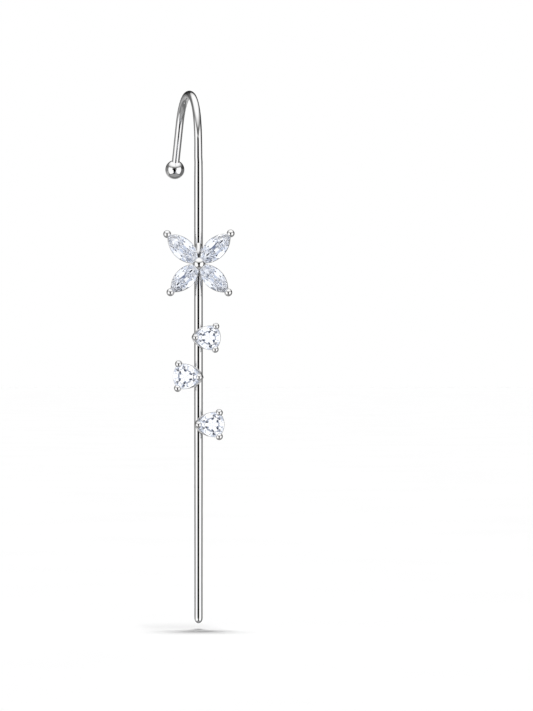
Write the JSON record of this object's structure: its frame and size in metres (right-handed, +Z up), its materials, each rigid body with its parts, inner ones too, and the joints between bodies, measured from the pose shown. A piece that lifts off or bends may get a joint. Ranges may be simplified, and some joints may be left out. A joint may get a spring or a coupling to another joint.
{
  "type": "hook earring",
  "caption": "Long hook earring: a straight wire bends back into an open hook with a ball end, and carries a butterfly of marquise stones above small triangular claw-set stones.",
  "frame": {"origin": "where the hook rests on the ear: the underside of its bend at the highest point", "axes": "+Z up along the straight wire, -Y the front that the stones face, +X to the right as seen from the front; the hook bends back towards +Y, turned 15 degrees towards -X"},
  "size_m": [0.0072, 0.0126, 0.0535],
  "materials": {
    "silver": "mirror-polished, bright-plated silver",
    "crystal": "clear colourless cut stone, polished facets"
  },
  "bodies": {
    "root": {"ear_wire": "silver", "wing_stone_upper_left": "crystal", "wing_stone_upper_right": "crystal", "wing_stone_lower_left": "crystal", "wing_stone_lower_right": "crystal", "side_stone_top": "crystal", "side_stone_middle": "crystal", "side_stone_bottom": "crystal"}
  },
  "joints": []
}
